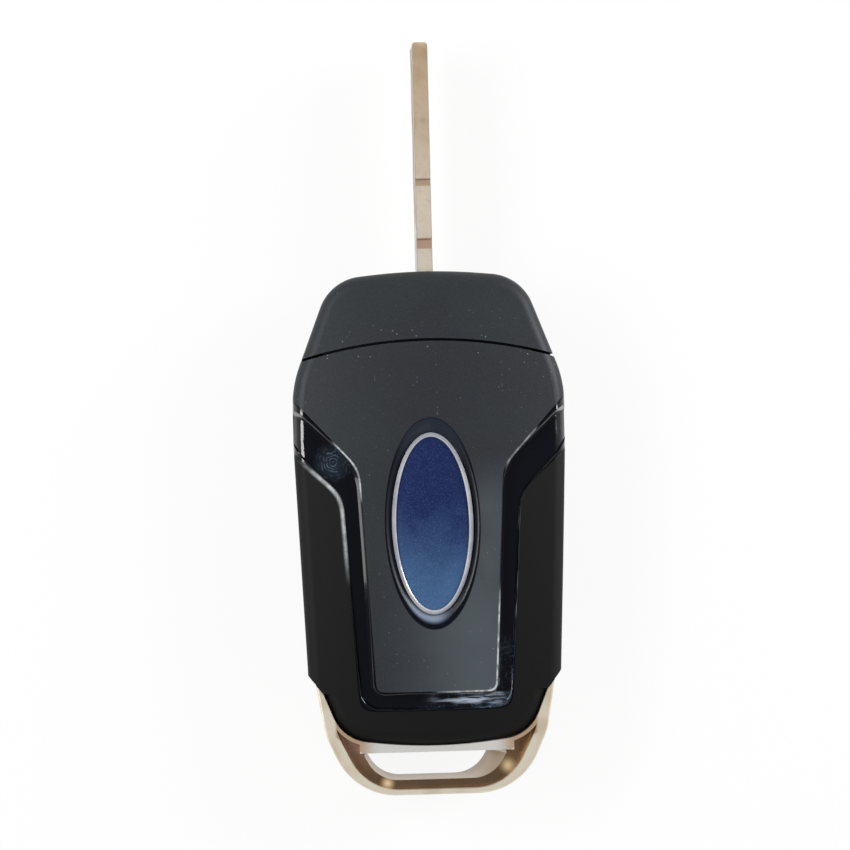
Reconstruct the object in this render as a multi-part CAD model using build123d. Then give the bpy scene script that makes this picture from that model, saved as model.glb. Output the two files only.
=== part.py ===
from build123d import *
import os
from math import cos, radians, sin, tan

# Flip key remote with its blade swung out. x runs across the body, y points
# along the open blade, z points out of the badge face. All sizes are in mm,
# and y = 0 lies near the middle of the badge until the parts are written.

# Housing outline
body_half = 19.5
nose_inset = 5.8
nose_y = 36.3
nose_bulge = 1.3
nose_round = 6.8
shoulder_y = 21.2
shoulder_round = 16.0
belt_y = 12.0
belt_round = 60.0
side_taper = 1.3
side_end_y = -20.3
step_in = 2.2
step_drop = 2.6
tail_corner_inset = 2.65
tail_corner_drop = 9.2
tail_bulge = 1.5
tail_round = 5.9
bow_share = 0.57

# Housing section
body_thick = 18.0
crown_across_radius = 90.0
crown_along_radius = 300.0
crown_y = 3.0
crown_half_turn = 16.0
crown_sweep = 12.0
rear_round = 2.0
front_round = 2.4
part_z = 9.0
side_wall = 1.6
front_wall = 1.5
rear_wall = 2.5
seam_y = 27.4
seam_radius = 65.0
seam_gap = 0.4
shell_gap = 0.1
groove_depth = 0.3
groove_height = 0.2

# Raised tongue, gloss channel and wings of the rear cover
tongue_elbow_inset = 9.04
tongue_elbow_y = 9.1
tongue_rise = 1.084
tongue_foot_inset = 10.75
tongue_foot_y = -23.0
tongue_foot_round = 1.6
channel_elbow_inset = 6.95
channel_elbow_y = 5.4
channel_rise = 0.909
channel_foot_inset = 8.75
channel_foot_y = -25.35
channel_foot_round = 3.0
tongue_edge_depth = 1.0
wing_edge_depth = 2.0
elbow_round = 8.0
channel_depth = 1.3
wing_depth = 0.85
edge_draft = 18.0
edge_round = 0.4
edge_lift = 0.03

# Badge, its dish and its bezel
badge_half = 5.8
badge_half_long = 12.95
badge_y = 1.2
dish_half = 6.75
dish_half_long = 14.95
dish_depth = 0.8
dish_round = 0.6
bezel_margin = 0.15
bezel_width = 0.6
badge_seat = 0.9
bezel_stand = 0.45
lens_dome = 0.35

# Ribs, lips and seats inside the housing
rib_bite = 0.2
lip_thick = 0.9
lip_height = 1.2
lip_low_y = -18.0
lip_high_y = 20.0
bulkhead_thick = 1.4
trough_wall = 1.0
roof_thick = 0.6
post_side = 6.5
post_radius = 1.1
post_inset = 2.0
tab_half = 2.0
tab_thick = 1.2

# Clearances
fit_gap = 0.05
run_gap = 0.2
slot_clear = 0.5
overrun = 1.0

# Blade, hub and pivot
blade_thick = 2.2
blade_depth = 8.0
blade_reach = 41.4
blade_rise = 1.9
tip_round = 1.2
tip_corner = 0.55
notch_near = 3.7
notch_far = 12.7
notch_near_length = 1.3
notch_far_length = 0.9
notch_depth = 0.35
track_start = 8.0
track_width = 2.4
track_depth = 0.6
track_bends = (0.9, -0.9, 0.5, 0.5, -1.0, 0.8, -0.3)
pivot_z = 6.8
collar_reach = 8.0
collar_past_nose = 0.7
collar_low = 2.6
collar_high = 6.2
collar_round = 1.2
hub_radius = 6.0
hub_half = 3.0
barrel_radius = 4.4
barrel_end = 10.0
stub_radius = 2.4
stub_end = 6.5
tang_start = 1.5
tang_step = 1.5
pin_radius = 0.8
saddle_thick = 1.5
barrel_saddle_x = (5.0, 8.3)
stub_saddle_x = -6.3

# Release button and its spring
button_radius = 3.6
button_shank_radius = 3.15
button_shank_end = 7.0
button_flange_radius = 4.2
button_flange_x = 12.1
button_flange_thick = 1.0
bore_radius = 3.3
bore_floor = 2.0
spring_wire = 0.6
spring_turns = 3

# Key ring loop
loop_arm_inset = 1.05
loop_arm_drop = 1.3
loop_waist_inset = 2.25
loop_waist_drop = 8.5
loop_foot_inset = 6.3
loop_foot_drop = 17.4
loop_waist_round = 10.0
loop_foot_round = 9.5
rim_at_arms = 1.7
rim_at_foot = 0.75
loop_low = 3.6
loop_high = 14.4
web_drop = 1.6
web_start_drop = 7.0
loop_gap = 0.12
loop_edge_round = 0.3
top_bar = 0.55
bar_overhang = 0.2
bar_edge = 0.6
bottom_bar = 2.05
opening_top_inset = 5.15
opening_foot_inset = 7.5
opening_top_round = 0.5
opening_foot_round = 5.0
opening_taper = 1.9
opening_lean = 1.35
plate_half = 9.0
plate_reach = 10.1
plate_thick = 2.4
plate_corner = 2.0

# Screws
loop_screw_x = 6.0
loop_screw_reach = 5.1
head_screw_inset = 7.1
head_screw_reach = 5.5
boss_radius = 1.5
screw_radius = 0.8
screw_head_radius = 1.9
screw_head_height = 1.1
socket_radius = 0.8
socket_depth = 0.6
screw_skin = 1.0

# Keys on the front face
key_side = 9.9
key_width = 10.4
key_length = 12.8
key_pitch = 15.0
key_middle_y = 0.8
key_corner = 2.2
key_recess = 0.3
key_edge = 0.4
key_gap = 0.2
key_flange = 0.7
key_flange_thick = 0.8
key_post_radius = 1.4
key_travel = 0.4

# Circuit board and what it carries
board_thick = 0.8
board_inset = 1.25
board_high_y = 19.0
board_low_y = -20.4
cell_radius = 10.0
cell_thick = 3.2
cell_y = -7.4
cell_edge = 0.3
contact_thick = 0.2
contact_size = (5.0, 13.0)
contact_disc_radius = 3.5
clip_width = 5.0
clip_foot = 2.2
clip_finger = 5.0
switch_size = 4.5
switch_height = 2.8
plunger_radius = 0.9
plunger_height = 0.5
chip_size = (5.0, 5.0, 0.9)
chip_place = (-8.0, 11.5)
crystal_size = (1.5, 3.2, 0.8)
crystal_place = (-2.5, 11.5)
coil_size = (8.0, 3.0, 2.6)
coil_place = (7.0, 12.0)
coil_flange = 1.0
coil_waist = 0.5
transponder_size = (4.8, 8.0, 3.0)
transponder_place = (-10.2, 29.5)

# Places that follow from the sizes above
side_end_half = body_half - side_taper
tail_half = side_end_half - step_in
neck_y = side_end_y - step_drop
tail_corner_half = tail_half - tail_corner_inset
tail_corner_y = side_end_y - tail_corner_drop
tail_y = tail_corner_y - tail_bulge
loop_foot_y = side_end_y - loop_foot_drop
opening_top_y = tail_y - top_bar
opening_foot_y = loop_foot_y + bottom_bar
opening_top_half = tail_half - opening_top_inset
plate_top_y = opening_top_y + plate_reach
loop_screw_y = tail_y + loop_screw_reach
head_screw_x = body_half - head_screw_inset
head_screw_y = seam_y - head_screw_reach
key_x = body_half - key_side
post_x = body_half - post_side
pivot_y = nose_y + collar_past_nose - collar_reach
tip_y = pivot_y + blade_reach
blade_low = pivot_z + blade_rise - blade_depth / 2
blade_high = blade_low + blade_depth
slot_half = blade_thick / 2 + slot_clear
slot_end = pivot_y - blade_reach - slot_clear
hub_slot_half = hub_half + run_gap
collar_sweep = (collar_reach ** 2 + collar_low ** 2) ** 0.5
hub_slot_end = pivot_y - collar_sweep - run_gap
slot_roof = 2 * pivot_z - blade_low + run_gap
hub_roof = pivot_z + collar_low + run_gap
board_z = max(slot_roof, hub_roof) + roof_thick
board_top = board_z + board_thick
cell_z = board_top + contact_thick
cell_top = cell_z + cell_thick
dish_floor = body_thick - dish_depth
badge_floor = dish_floor - badge_seat
plate_low = part_z - plate_thick / 2
plate_high = part_z + plate_thick / 2
tab_z = board_top
barrel_room_end = barrel_end + run_gap
pin_y = pivot_y + (tang_start + collar_reach) / 2
pin_z = pivot_z + blade_rise
saddles = [(x, x + saddle_thick, barrel_radius) for x in barrel_saddle_x]
saddles.append((stub_saddle_x, stub_saddle_x + saddle_thick, stub_radius))
rib_foot = front_wall - rib_bite
screw_floor = front_wall + screw_skin
above_all = 2 * body_thick
far = 2 * body_half
shift = Pos(0, -(tip_y + loop_foot_y) / 2, 0)
sides = (-1, 1)


def block(x0, x1, y0, y1, z0, z1):
    middle = Pos((x0 + x1) / 2, (y0 + y1) / 2, (z0 + z1) / 2)
    return middle * Box(abs(x1 - x0), abs(y1 - y0), abs(z1 - z0))


def rod_x(radius, x0, x1, y, z):
    return Pos((x0 + x1) / 2, y, z) * Rot(0, 90, 0) * Cylinder(radius, abs(x1 - x0))


def rod_z(radius, x, y, z0, z1):
    return Pos(x, y, (z0 + z1) / 2) * Cylinder(radius, abs(z1 - z0))


def prism(face, z0, z1, taper=0):
    return extrude(Pos(0, 0, z0) * face, z1 - z0, taper=taper)


def mirrored(points, radii):
    """Closed outline from its right half, listed from top to bottom."""
    left = [(-x, y) for x, y in reversed(points) if x > 0]
    left_radii = [r for (x, y), r in zip(reversed(points), reversed(radii)) if x > 0]
    outline = FilletPolyline(*(points + left), radius=radii + left_radii, close=True)
    return make_face(outline.edges())


def crowned_block(top, across, along, middle_y):
    """Block under a doubly curved top, crowned across and along."""
    half_turn = radians(crown_half_turn)
    centre_z = top - across
    end = (across * sin(half_turn), centre_z + across * cos(half_turn))
    start = (-end[0], end[1])
    base = top - across / 4
    arc = ThreePointArc(start, (0, top), end)
    rest = Polyline(end, (end[0], base), (start[0], base), start)
    face = Plane.XZ.offset(-middle_y) * make_face(arc.edges() + rest.edges())
    axis = Axis((0, middle_y, top - along), (1, 0, 0))
    return revolve(face, axis, crown_sweep) + revolve(face, axis, -crown_sweep)


def crown(depth):
    """Everything under the rear face, lowered evenly by depth."""
    across = crown_across_radius - depth
    along = crown_along_radius - depth
    return crowned_block(body_thick - depth, across, along, crown_y)


# Housing


def main_outline():
    points = [
        (0, nose_y + nose_bulge),
        (body_half - nose_inset, nose_y),
        (body_half, shoulder_y),
        (body_half, belt_y),
        (side_end_half, side_end_y),
        (side_end_half, tail_y),
    ]
    bow_radius = bow_share * (body_half - nose_inset) ** 2 / nose_bulge
    radii = [bow_radius, nose_round, shoulder_round, belt_round, belt_round, tail_round]
    return mirrored(points, radii)


def tail_outline(grow=0):
    """Narrow lower end of the housing, which the key ring loop hugs."""
    lean = tail_corner_inset / (neck_y - tail_corner_y)
    points = [
        (tail_half + lean * 2 * step_drop, neck_y + 2 * step_drop),
        (tail_corner_half, tail_corner_y),
        (0, tail_y),
    ]
    bow_radius = bow_share * tail_corner_half ** 2 / tail_bulge
    face = mirrored(points, [tail_round / 2, tail_round, bow_radius])
    return offset(face, grow) if grow else face


def above_step(gap=0):
    """Zone of the wide body, above the two slanted steps at its lower end."""
    far_y = side_end_y + step_drop / step_in * (far - side_end_half) - gap
    points = [
        (far, far_y),
        (tail_half, neck_y - gap),
        (-tail_half, neck_y - gap),
        (-far, far_y),
        (-far, 2 * nose_y),
        (far, 2 * nose_y),
    ]
    return make_face(Polyline(*points, close=True).edges())


def rounded_blank(face, depth):
    blank = prism(face, 0, above_all) & crown(depth)
    rear = blank.faces().sort_by(Axis.Z)[-1]
    blank = fillet(rear.edges(), rear_round)
    front = blank.faces().sort_by(Axis.Z)[0]
    return fillet(front.edges(), front_round)


def housing(depth):
    zone = prism(above_step(), -overrun, above_all)
    wide = rounded_blank(main_outline(), depth) & zone
    return wide + (rounded_blank(tail_outline(), depth) - zone)


def inner_plan(inset):
    wide = offset(main_outline(), -inset) & above_step(-inset)
    return wide + offset(tail_outline(), -inset)


def beyond_seam(move):
    """Zone on the blade side of the arched seam, moved along y."""
    field = Pos(0, seam_y + body_half) * Rectangle(2 * far, 2 * far)
    disc = Pos(0, seam_y + move - seam_radius) * Circle(seam_radius)
    return prism(field - disc, -overrun, above_all)


def stepped_face(elbow, rise, foot, foot_round):
    """Area above the wings, wide at the shoulders and narrow at the foot."""
    points = [
        (far, 2 * nose_y),
        (far, elbow[1] + rise * (far - elbow[0])),
        elbow,
        foot,
    ]
    return mirrored(points, [0, 0, elbow_round, foot_round])


def drafted(face, exact_z, taper):
    """Prism with drafted walls that has the outline's true size at exact_z."""
    spread = (exact_z - part_z) * tan(radians(taper))
    return prism(offset(face, spread), part_z, above_all - part_z, taper)


def rounded_top(block, radius):
    """Rounds the edges of a block's crowned top that lie over the housing."""
    top = block.faces().sort_by(Axis.Z)[-1]
    middles = [(edge, edge @ 0.5) for edge in top.edges()]
    near = [edge for edge, middle in middles if abs(middle.X) < body_half and abs(middle.Y) < far]
    return fillet(near, radius)


def ellipse_plan(half, half_long):
    return Pos(0, badge_y) * Ellipse(half, half_long)


def rear_skin():
    """Rear face of the cover: tongue, gloss channel round it, and the wings."""
    elbow = (body_half - tongue_elbow_inset, tongue_elbow_y)
    foot = (body_half - tongue_foot_inset, tongue_foot_y)
    tongue = stepped_face(elbow, tongue_rise, foot, tongue_foot_round)
    elbow = (body_half - channel_elbow_inset, channel_elbow_y)
    foot = (body_half - channel_foot_inset, channel_foot_y)
    channel = stepped_face(elbow, channel_rise, foot, channel_foot_round)
    block = drafted(tongue, body_thick - tongue_edge_depth, edge_draft) & crown(-edge_lift)
    raised = housing(0) & rounded_top(block, edge_round)
    block = crown(wing_depth - edge_lift) - drafted(channel, body_thick - wing_edge_depth, -edge_draft)
    wings = housing(wing_depth) & rounded_top(block, edge_round)
    return housing(channel_depth) + wings + raised


def badge_dish():
    """Oval dish with drafted sides, and the flat seat of the badge below it."""
    low = (badge_half + bezel_margin, badge_half_long + bezel_margin)
    high = [2 * b - a for a, b in zip(low, (dish_half, dish_half_long))]
    flare = loft([
        Pos(0, 0, dish_floor) * ellipse_plan(*low),
        Pos(0, 0, dish_floor + 2 * dish_depth) * ellipse_plan(*high),
    ])
    seat = ellipse_plan(badge_half + fit_gap, badge_half_long + fit_gap)
    return flare + prism(seat, badge_floor, body_thick)


blank = housing(0)
lower_half = block(-far, far, -far, 2 * nose_y, -overrun, part_z)
upper_half = block(-far, far, -far, 2 * nose_y, part_z, above_all)
cavity = prism(inner_plan(side_wall), front_wall, above_all) & crown(rear_wall)


def plate_slot(z0, z1):
    """Way through the end wall for the loop's mounting plate."""
    half = plate_half + fit_gap
    return block(-half, half, 2 * tail_y, loop_screw_y, z0, z1)


def make_rear_cover():
    cover = (rear_skin() & upper_half) - cavity
    rim = inner_plan(side_wall - rib_bite) - inner_plan(side_wall + lip_thick)
    lip = inner_plan(side_wall + shell_gap) - inner_plan(side_wall + lip_thick)
    long_sides = block(-far, far, lip_low_y, lip_high_y, -overrun, above_all)
    cover += prism(rim, part_z, part_z + lip_height) & long_sides
    cover += prism(lip, part_z - lip_height, part_z + lip_height) & long_sides
    cover -= beyond_seam(-seam_gap / 2)
    cover = cover & rounded_top(crown(-edge_lift) - badge_dish(), dish_round)
    return cover - plate_slot(part_z - overrun, plate_high + fit_gap)


def make_head_cap():
    reach = beyond_seam(seam_gap / 2)
    cap = (blank & upper_half & reach) - cavity
    bulkhead = prism(inner_plan(side_wall - rib_bite), part_z, above_all) & crown(rear_wall - rib_bite)
    cap += bulkhead & reach - beyond_seam(bulkhead_thick)
    tray = prism(inner_plan(side_wall + lip_thick + shell_gap), part_z, above_all)
    tray = tray & crown(rear_wall + shell_gap) & beyond_seam(-bulkhead_thick)
    cap += tray - beyond_seam(bulkhead_thick)
    for x0, x1, radius in saddles:
        finger = block(x0, x1, pivot_y - radius, pivot_y + radius, pivot_z, above_all)
        cap += finger & crown(rear_wall + shell_gap)
        cap += finger & crown(rear_wall - rib_bite) & reach
    for side in sides:
        tab = block(
            side * head_screw_x - tab_half, side * head_screw_x + tab_half,
            head_screw_y - tab_half, seam_y + seam_gap, tab_z, tab_z + tab_thick,
        )
        cap += tab
        cap -= rod_z(screw_radius + run_gap, side * head_screw_x, head_screw_y, 0, above_all)
    return cap - hub_room() - button_room()


def hub_room():
    """Space that the hub, its barrel and its stub turn in."""
    room = rod_x(hub_radius + run_gap, -hub_slot_half, hub_slot_half, pivot_y, pivot_z)
    room += block(
        -hub_slot_half, hub_slot_half, pivot_y, 2 * nose_y,
        -overrun, pivot_z + collar_high + run_gap,
    )
    room += rod_x(barrel_radius + fit_gap, 0, barrel_room_end, pivot_y, pivot_z)
    return room + rod_x(stub_radius + fit_gap, -stub_end - run_gap, 0, pivot_y, pivot_z)


def button_room():
    """Hole for the release button and its flange inside the side wall."""
    room = rod_x(button_radius + fit_gap, button_flange_x, far, pivot_y, pivot_z)
    flange_end = button_flange_x + button_flange_thick + run_gap
    return room + rod_x(button_flange_radius + run_gap, barrel_end, flange_end, pivot_y, pivot_z)


def open_upwards(radius, x0, x1):
    return block(x0, x1, pivot_y - radius, pivot_y + radius, pivot_z, above_all)


def key_plan(x, y, grow):
    size = (key_width + 2 * grow, key_length + 2 * grow)
    return Pos(x, y) * RectangleRounded(*size, key_corner + grow)


key_places = {
    "lock_key": (-key_x, key_middle_y + key_pitch / 2),
    "unlock_key": (key_x, key_middle_y + key_pitch / 2),
    "trunk_key": (-key_x, key_middle_y - key_pitch / 2),
    "panic_key": (key_x, key_middle_y - key_pitch / 2),
}


def make_front_shell():
    shell = (blank & lower_half) - cavity
    wall = slot_half + trough_wall
    hub_wall = hub_slot_half + trough_wall
    ribs = block(-wall, wall, slot_end - trough_wall, pivot_y, 0, part_z)
    ribs += block(-hub_wall, hub_wall, hub_slot_end - trough_wall, 2 * nose_y, 0, part_z)
    for x0, x1, radius in saddles:
        reach = radius + trough_wall
        ribs += block(x0, x1, pivot_y - reach, pivot_y + reach, 0, part_z)
    for side in sides:
        ribs += rod_z(boss_radius + trough_wall, side * loop_screw_x, loop_screw_y, 0, plate_low)
        ribs += rod_z(boss_radius + trough_wall / 2, side * head_screw_x, head_screw_y, 0, part_z)
        for y in (board_high_y - post_inset, board_low_y + post_inset):
            ribs += rod_z(post_radius, side * post_x, y, 0, part_z)
    shell += ribs & blank
    # Parts of the ribs that stand above the parting plane
    roof_end = pivot_y - hub_radius - run_gap
    shell += block(-wall, wall, slot_end - trough_wall, roof_end, part_z - overrun, board_z)
    shell += block(-hub_wall, hub_wall, hub_slot_end - trough_wall, roof_end, part_z - overrun, board_z)
    for side in sides:
        shell += rod_z(boss_radius, side * loop_screw_x, loop_screw_y, rib_foot, plate_high - fit_gap)
        shell += rod_z(boss_radius + trough_wall / 2, side * head_screw_x, head_screw_y, rib_foot, tab_z)
        for y in (board_high_y - post_inset, board_low_y + post_inset):
            shell += rod_z(post_radius, side * post_x, y, rib_foot, board_z)
    # Blade slot, hub slot and the open saddles
    shell -= block(-slot_half, slot_half, slot_end, pivot_y, -overrun, slot_roof)
    shell -= block(-hub_slot_half, hub_slot_half, hub_slot_end, pivot_y, -overrun, hub_roof)
    shell -= block(-hub_slot_half, hub_slot_half, roof_end, 2 * nose_y, -overrun, above_all)
    shell -= hub_room() + button_room()
    shell -= open_upwards(barrel_radius + fit_gap, hub_half, barrel_room_end)
    shell -= open_upwards(stub_radius + fit_gap, -stub_end - run_gap, -hub_half)
    for x, y in key_places.values():
        shell -= prism(key_plan(x, y, key_gap), -overrun, front_wall + overrun)
    for side in sides:
        for x, y in ((loop_screw_x, loop_screw_y), (head_screw_x, head_screw_y)):
            shell -= rod_z(screw_radius + fit_gap, side * x, y, screw_floor, above_all)
    groove = Rectangle(2 * far, 4 * far) - inner_plan(groove_depth)
    shell -= prism(groove, part_z - groove_height, part_z + overrun)
    return shell - plate_slot(plate_low - fit_gap, part_z + overrun)


# Badge


def make_badge_bezel():
    outer = ellipse_plan(badge_half, badge_half_long)
    inner = ellipse_plan(badge_half - bezel_width, badge_half_long - bezel_width)
    ring = prism(outer - inner, badge_floor, dish_floor + bezel_stand)
    return chamfer(ring.edges().group_by(Axis.Z)[-1], bezel_width / 3)


def make_badge_lens():
    inset = bezel_width + fit_gap
    face = ellipse_plan(badge_half - inset, badge_half_long - inset)
    top = dish_floor + bezel_stand - fit_gap
    across = (badge_half - inset) ** 2 / (2 * lens_dome)
    along = (badge_half_long - inset) ** 2 / (2 * lens_dome)
    return prism(face, badge_floor, above_all) & crowned_block(top, across, along, badge_y)


# Blade, hub, pin and spring


def make_blade():
    profile = [
        (tang_start, blade_low + tang_step),
        (collar_reach, blade_low + tang_step),
        (collar_reach, blade_low),
        (blade_reach, blade_low),
        (blade_reach, blade_high),
        (collar_reach, blade_high),
        (collar_reach, blade_high - tang_step),
        (tang_start, blade_high - tang_step),
    ]
    radii = [0, 0, 0, tip_round, tip_round, 0, 0, 0]
    outline = FilletPolyline(*profile, radius=radii, close=True)
    side_view = Plane.YZ * Pos(pivot_y, 0) * make_face(outline.edges())
    blade = extrude(side_view, blade_thick / 2, both=True)
    length = 2 * blade_reach
    plan = Pos(0, tip_y - length / 2) * RectangleRounded(blade_thick, length, tip_corner)
    blade = blade & prism(plan, 0, above_all)
    track = Plane.YZ * Pos(pivot_y, pin_z) * milled_track()
    for side in sides:
        floor = side * (blade_thick / 2 - track_depth)
        blade -= extrude(Pos(floor, 0, 0) * track, track_depth + overrun, (side, 0, 0))
    for place, length in ((notch_near, notch_near_length), (notch_far, notch_far_length)):
        y0 = pivot_y + collar_reach + place
        blade -= block(-far, far, y0, y0 + length, blade_high - notch_depth, above_all)
    return blade - rod_x(pin_radius + fit_gap, -far, far, pin_y, pin_z)


def milled_track():
    """Wavy groove along the flat of the blade, open at the tip."""
    start = collar_reach + track_start
    step = (blade_reach - start) / len(track_bends)
    points = [(start, track_bends[-1])]
    for number, bend in enumerate(track_bends):
        points.append((start + (number + 0.5) * step, bend))
    points.append((blade_reach + track_width, track_bends[-1]))
    return trace(Spline(*points), track_width)


def make_hub():
    collar = Pos(collar_reach / 2, (collar_high - collar_low) / 2) * RectangleRounded(
        collar_reach, collar_high + collar_low, collar_round
    )
    profile = Circle(hub_radius) + collar
    hub = extrude(Plane.YZ * Pos(pivot_y, pivot_z) * profile, hub_half, both=True)
    hub += rod_x(barrel_radius, 0, barrel_end, pivot_y, pivot_z)
    hub += rod_x(stub_radius, -stub_end, 0, pivot_y, pivot_z)
    hub -= rod_x(bore_radius, bore_floor, barrel_end, pivot_y, pivot_z)
    half = blade_thick / 2 + fit_gap
    hub -= block(
        -half, half, pivot_y + tang_start - fit_gap, 2 * nose_y,
        blade_low + tang_step - fit_gap, blade_high - tang_step + fit_gap,
    )
    return hub - rod_x(pin_radius + fit_gap, -hub_half, hub_half, pin_y, pin_z)


def make_blade_pin():
    return rod_x(pin_radius, -hub_half, hub_half, pin_y, pin_z)


def make_release_button():
    flange_end = button_flange_x + button_flange_thick
    cap = rod_x(button_radius, flange_end - fit_gap, far, pivot_y, pivot_z) & blank
    flange = rod_x(button_flange_radius, button_flange_x, flange_end, pivot_y, pivot_z)
    return cap + flange + rod_x(
        button_shank_radius, button_shank_end, button_flange_x, pivot_y, pivot_z
    )


def make_flip_spring():
    radius = bore_radius - run_gap - spring_wire / 2
    height = button_shank_end - bore_floor - spring_wire - 2 * run_gap
    start_x = bore_floor + spring_wire / 2 + run_gap
    path = Helix(height / spring_turns, height, radius, (start_x, pivot_y, pivot_z), (1, 0, 0))
    section = Plane(origin=path @ 0, z_dir=path % 0) * RegularPolygon(spring_wire / 2, 4)
    return sweep(section, path=path, is_frenet=True)


# Key ring loop


def loop_contour(narrower=0, shorter=0):
    half = side_end_half - narrower
    points = [
        (half - loop_arm_inset, side_end_y - loop_arm_drop),
        (half - loop_waist_inset, side_end_y - loop_waist_drop),
        (half - loop_foot_inset, loop_foot_y + shorter),
    ]
    return mirrored(points, [0, loop_waist_round - narrower, loop_foot_round - narrower])


def opening_outline(share):
    """Outline of the opening at a share of the way down to the loop's front face."""
    narrower = opening_taper * share
    points = [
        (opening_top_half - narrower, opening_top_y),
        (tail_half - opening_foot_inset - narrower, opening_foot_y),
    ]
    face = mirrored(points, [opening_top_round, opening_foot_round])
    return Pos(-opening_lean * share, 0, loop_high + (loop_low - loop_high) * share) * face


def make_key_loop():
    """Cast loop with a raised rim, a lower web and a plate inside the housing."""
    reach = overrun / (loop_high - loop_low)
    opening = loft([opening_outline(1 + reach), opening_outline(-reach)])
    loop = prism(loop_contour(), loop_low, loop_high)
    loop = fillet(loop.edges().group_by(Axis.Z)[-1], loop_edge_round)
    loop = fillet(loop.edges().group_by(Axis.Z)[0], loop_edge_round)
    below_arms = Pos(0, side_end_y - web_start_drop - far) * Rectangle(2 * far, 2 * far)
    bar = Pos(0, opening_top_y + far) * Rectangle(2 * (opening_top_half + bar_overhang), 2 * far)
    inside = (loop_contour(rim_at_arms, rim_at_foot) & below_arms) - bar - tail_outline(bar_edge)
    loop -= prism(inside, loop_high - web_drop, above_all)
    loop -= prism(inside, -overrun, loop_low + web_drop)
    loop -= prism(above_step(loop_gap), -overrun, above_all)
    loop -= prism(tail_outline(loop_gap), -overrun, above_all)
    plate_y = (plate_top_y + opening_top_y) / 2
    size = (2 * plate_half, plate_reach)
    plate = Pos(0, plate_y) * RectangleRounded(*size, plate_corner)
    plate += Pos(0, plate_y - plate_corner) * Rectangle(size[0], size[1] - 2 * plate_corner)
    loop += prism(plate, plate_low, plate_high)
    loop -= opening
    for side in sides:
        loop -= rod_z(boss_radius + shell_gap, side * loop_screw_x, loop_screw_y, 0, above_all)
    return loop


def screw_pair(x, y, seat_z):
    """Two cross recessed screws with cheese heads, seated at seat_z."""
    pair = Part()
    for side in sides:
        head = rod_z(screw_head_radius, side * x, y, seat_z, seat_z + screw_head_height)
        head = chamfer(head.edges().group_by(Axis.Z)[-1], screw_head_height / 4)
        shank = rod_z(screw_radius, side * x, y, screw_floor + run_gap, seat_z)
        floor = seat_z + screw_head_height - socket_depth
        arm = socket_radius / 3
        cross = block(-socket_radius, socket_radius, -arm, arm, floor, above_all)
        cross += block(-arm, arm, -socket_radius, socket_radius, floor, above_all)
        pair += head + shank - Pos(side * x, y) * cross
    return pair


# Board, cell and contacts


def make_circuit_board():
    plan = inner_plan(side_wall + board_inset)
    return prism(plan, board_z, board_top) & block(-far, far, board_low_y, board_high_y, 0, above_all)


def make_coin_cell():
    cell = rod_z(cell_radius, 0, cell_y, cell_z, cell_top)
    return chamfer(cell.edges().group_by(Axis.Z)[-1], cell_edge)


def make_cell_clip():
    """Bent strip that rises beside the cell and presses on its upper face."""
    y0 = cell_y + cell_radius + run_gap
    y1 = y0 + contact_thick
    half = clip_width / 2
    clip = block(-half, half, y0, y1, board_top, cell_top + contact_thick)
    clip += block(-half, half, y0, y0 + clip_foot, board_top, board_top + contact_thick)
    return clip + block(-half, half, y1 - clip_finger, y1, cell_top, cell_top + contact_thick)


def make_cell_contact():
    half_x, half_y = contact_size[0] / 2, contact_size[1] / 2
    leaf = block(-half_x, half_x, cell_y - half_y, cell_y + half_y, board_top, cell_z)
    return leaf + rod_z(contact_disc_radius, 0, cell_y, board_top, cell_z)


def make_switch(x, y):
    half = switch_size / 2
    low = board_z - switch_height
    switch = block(x - half, x + half, y - half, y + half, low, board_z)
    switch = fillet(switch.edges().filter_by(Axis.Z), switch_size / 12)
    return switch + rod_z(plunger_radius, x, y, low - plunger_height, low)


def on_board(size, place):
    x, y = place
    return Pos(x, y, board_top + size[2] / 2) * Box(*size)


def make_antenna_coil():
    """Ferrite core with end flanges and its winding."""
    coil = on_board(coil_size, coil_place)
    waist = coil_size[0] / 2 - coil_flange
    x, y = coil_place
    for side in sides:
        edge = side * coil_size[1] / 2
        coil -= block(
            x - waist, x + waist, y + edge, y + edge - side * coil_waist, board_top, above_all,
        )
    top = board_top + coil_size[2]
    return coil - block(x - waist, x + waist, y - far, y + far, top - coil_waist, above_all)


def make_transponder():
    x, y = transponder_place
    width, length, height = transponder_size
    wedge = Pos(x, y, front_wall + height / 2) * Box(width, length, height)
    return fillet(wedge.edges().filter_by(Axis.Z), width / 8)


def make_key(x, y):
    low = front_wall + shell_gap
    high = low + key_flange_thick
    cap = prism(key_plan(x, y, 0), key_recess, high)
    cap = chamfer(cap.edges().group_by(Axis.Z)[0], key_edge)
    post_end = board_z - switch_height - plunger_height - key_travel - fit_gap
    cap += prism(key_plan(x, y, key_flange), low, high)
    return cap + rod_z(key_post_radius, x, y, high, post_end)


parts = {
    "front_shell": make_front_shell(),
    "rear_cover": make_rear_cover(),
    "head_cap": make_head_cap(),
    "badge_bezel": make_badge_bezel(),
    "badge_lens": make_badge_lens(),
    "key_blade": make_blade(),
    "blade_hub": make_hub(),
    "blade_pin": make_blade_pin(),
    "release_button": make_release_button(),
    "flip_spring": make_flip_spring(),
    "key_loop": make_key_loop(),
    "loop_screws": screw_pair(loop_screw_x, loop_screw_y, plate_high),
    "head_screws": screw_pair(head_screw_x, head_screw_y, tab_z + tab_thick),
    "circuit_board": make_circuit_board(),
    "coin_cell": make_coin_cell(),
    "cell_clip": make_cell_clip(),
    "cell_contact": make_cell_contact(),
    "control_chip": on_board(chip_size, chip_place),
    "crystal": on_board(crystal_size, crystal_place),
    "antenna_coil": make_antenna_coil(),
    "transponder": make_transponder(),
}
for name, (x, y) in key_places.items():
    parts[name] = make_key(x, y)
    parts[name.replace("key", "switch")] = make_switch(x, y)

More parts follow.
